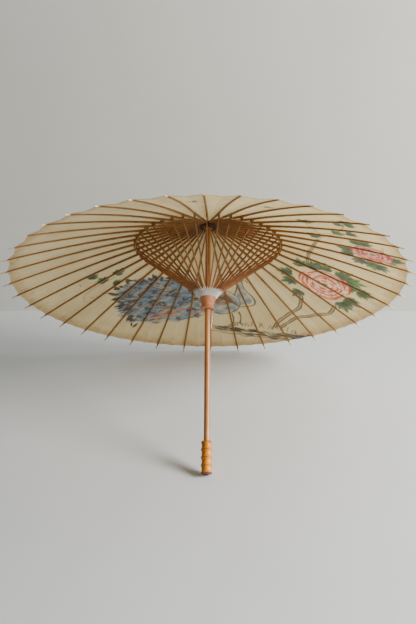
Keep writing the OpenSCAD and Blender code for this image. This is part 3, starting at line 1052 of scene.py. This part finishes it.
def lacingPoint(share, angle, out=0.0):  # share runs from the runner's neck, 0, up to the stretchers, 1
    (lowR, lowZ), (highR, highZ) = lacingSet["low"], lacingSet["high"]
    r = lowR + (highR - lowR) * share + out * 0.79
    z = lowZ + (highZ - lowZ) * share ** 1.15 - out * 0.62
    return r * cos(angle), r * sin(angle), z


def lacingSector(sector):
    parts = []
    ribsIn = lacingSet["ribs"]
    firstAngle = ribAngles[sector * ribsIn + ribsIn - 1] - lines["pitch"] / 2
    chance = np.random.default_rng(700 + sector)
    turns = np.linspace(0, ribsIn * lines["pitch"], ribsIn * 12 + 1)
    for share in np.linspace(0, 1, lacingSet["rows"]):
        sway = chance.uniform(-0.01, 0.01)
        ring = [lacingPoint(share + sway * sin(t * 5), firstAngle + t) for t in turns]
        parts.append(tube(ring, lacingSet["d"] / 2, 6))
    for k in range(sector * ribsIn, (sector + 1) * ribsIn):
        for spike, out in zip(lacingSet["spikes"], (0.7, 1.05)):
            top = onStretcher(spike, 2.6)
            legs = []
            for share in np.linspace(-0.5, 0.5, 13):
                close = 1 - abs(2 * share)
                a = ribAngles[k] + share * lines["pitch"] + (spike > 20) * chance.uniform(-0.004, 0.004)
                low = np.array(lacingPoint(min(close * 1.5, 1), a, out))
                if close > 2 / 3:
                    peak = np.array([top[0] * cos(a), top[0] * sin(a), top[2]])
                    low += (peak - low) * (close - 2 / 3) * 3
                legs.append(low)
            parts.append(tube(legs, lacingSet["spikeD"] / 2, 6))
        for back in (-0.25, 0.25):
            a = ribAngles[k] + back * lines["pitch"]
            leg = [lacingPoint(t, a + 0.01 * sin(6 * t), 0.55) for t in np.linspace(0, 1, 7)]
            parts.append(tube(leg, lacingSet["backD"] / 2, 6))
    return joinParts(parts)


def makeLacing():
    for sector in range(lacingSet["sectors"]):
        piece = makePiece(f"lacing_{sector + 1}", lacingSector(sector), cotton, "runner")
        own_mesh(piece)
        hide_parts("runner_lacing")


makeLacing()
print("threads and lacing made")


# bent wire catch
catchSet = {
    "footR": 4.4, "heelR": 8.4, "shoulderR": 13.4, "tipR": 5.2, "lowZ": 353, "topZ": 399,
    "d": 1.5, "bend": 1.6,
}


def filleted(points, radius, steps=5):
    points = [np.array(p, float) for p in points]
    path = [points[0]]
    for before, corner, after in zip(points, points[1:], points[2:]):
        back = (before - corner) / np.linalg.norm(before - corner)
        ahead = (after - corner) / np.linalg.norm(after - corner)
        for t in np.linspace(0, 1, steps + 1):
            pull = (1 - t) ** 2 * back + t ** 2 * ahead
            path.append(corner + pull * radius)
    return np.array(path + [points[-1]])


def makeCatch():
    lowZ, topZ = catchSet["lowZ"], catchSet["topZ"]
    flat = filleted([(catchSet["footR"], lowZ), (catchSet["heelR"], lowZ),
                     (catchSet["shoulderR"], topZ), (catchSet["tipR"], topZ)], catchSet["bend"])
    path = np.column_stack([flat[:, 0], np.zeros(len(flat)), flat[:, 1]])
    piece = makePiece("catch_wire", tube(path, catchSet["d"] / 2, 12), wire, "catch")
    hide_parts("catch_spring")


makeCatch()


# turned and fixed pieces keep their own shapes and get their finishes
finishes = {
    "shaft": cane, "handle_grip": grip, "runner": turned, "head": darkWood, "finial": turned,
    "cap_paper": lacquered,
    "runner_thread": thread, "head_thread": thread, "head_pin": cane, "stop_pin": cane,
}
for name, material in finishes.items():
    node = frame["nodes"][name]
    if not node.data.materials:
        node.data.materials.append(material)
    for place in range(len(node.data.materials)):
        node.data.materials[place] = material
print("finishes given")


# floor, wall and lights
roomSet = {"floor": "c3c5c6", "wall": "b9bab4", "wallY": 0.66, "wide": 14.0, "high": 5.0}


def plainMaterial(name, colour, rough, fromBehind=False):
    material, tree, shader = newMaterial(name)
    where = addNode(tree, "ShaderNodeTexCoord").outputs["Object"]
    patches = stain(tree, where, 1.6, 0.3, 0.75)
    fine = stain(tree, where, 12.0, 0.4, 0.8)
    darker = tuple(c * 0.9 for c in shade(colour))
    tone = mixColour(tree, times(tree, patches["Stain"], 0.7), shade(colour), darker)
    colourIn(tree, shader, mixColour(tree, times(tree, fine["Stain"], 0.25), tone, darker))
    shader.inputs["Roughness"].default_value = rough
    if fromBehind:  # the wall is seen only from the front
        clear = addNode(tree, "ShaderNodeBsdfTransparent")
        back = addNode(tree, "ShaderNodeNewGeometry").outputs["Backfacing"]
        blendShaders(tree, back, shader, clear)
    return material


def makePlane(name, corners, material):
    mesh = bpy.data.meshes.new(name)
    mesh.from_pydata(corners, [], [(0, 1, 2, 3)])
    mesh.materials.append(material)
    plane = bpy.data.objects.new(name, mesh)
    scene.collection.objects.link(plane)


wide, high, wallY = roomSet["wide"], roomSet["high"], roomSet["wallY"]
makePlane("floor", [(-wide, -wide, 0), (wide, -wide, 0), (wide, wide, 0), (-wide, wide, 0)],
          plainMaterial("paleFloor", roomSet["floor"], 0.65))
makePlane("wall", [(-wide, wallY, 0), (wide, wallY, 0), (wide, wallY, high), (-wide, wallY, high)],
          plainMaterial("paleWall", roomSet["wall"], 0.9, True))


def areaLight(name, place, target, size, power, colour):
    data = bpy.data.lights.new(name, "AREA")
    data.shape = "RECTANGLE"
    data.size, data.size_y = size
    data.energy = power
    data.color = colour
    light = bpy.data.objects.new(name, data)
    light.location = place
    light.rotation_euler = (Vector(target) - Vector(place)).to_track_quat("-Z", "Y").to_euler()
    scene.collection.objects.link(light)


lightSet = {
    "window": {"place": (3.2, -1.1, 1.9), "target": (0, 0, 0.3), "size": (1.7, 1.3), "power": 420,
               "colour": (1.0, 0.98, 0.95)},
    "softFill": {"place": (-1.2, -3.2, 2.6), "target": (0, 0, 0.4), "size": (3.0, 2.0), "power": 3,
                 "colour": (0.95, 0.97, 1.0)},
}
worldSet = {"colour": (0.93, 0.96, 1.0, 1), "strength": 0.18}
for name, settings in lightSet.items():
    areaLight(name, **settings)
world = bpy.data.worlds.new("softRoom")
world.use_nodes = True
background = world.node_tree.nodes["Background"]
background.inputs["Color"].default_value = worldSet["colour"]
background.inputs["Strength"].default_value = worldSet["strength"]
scene.world = world

print("scene ready")
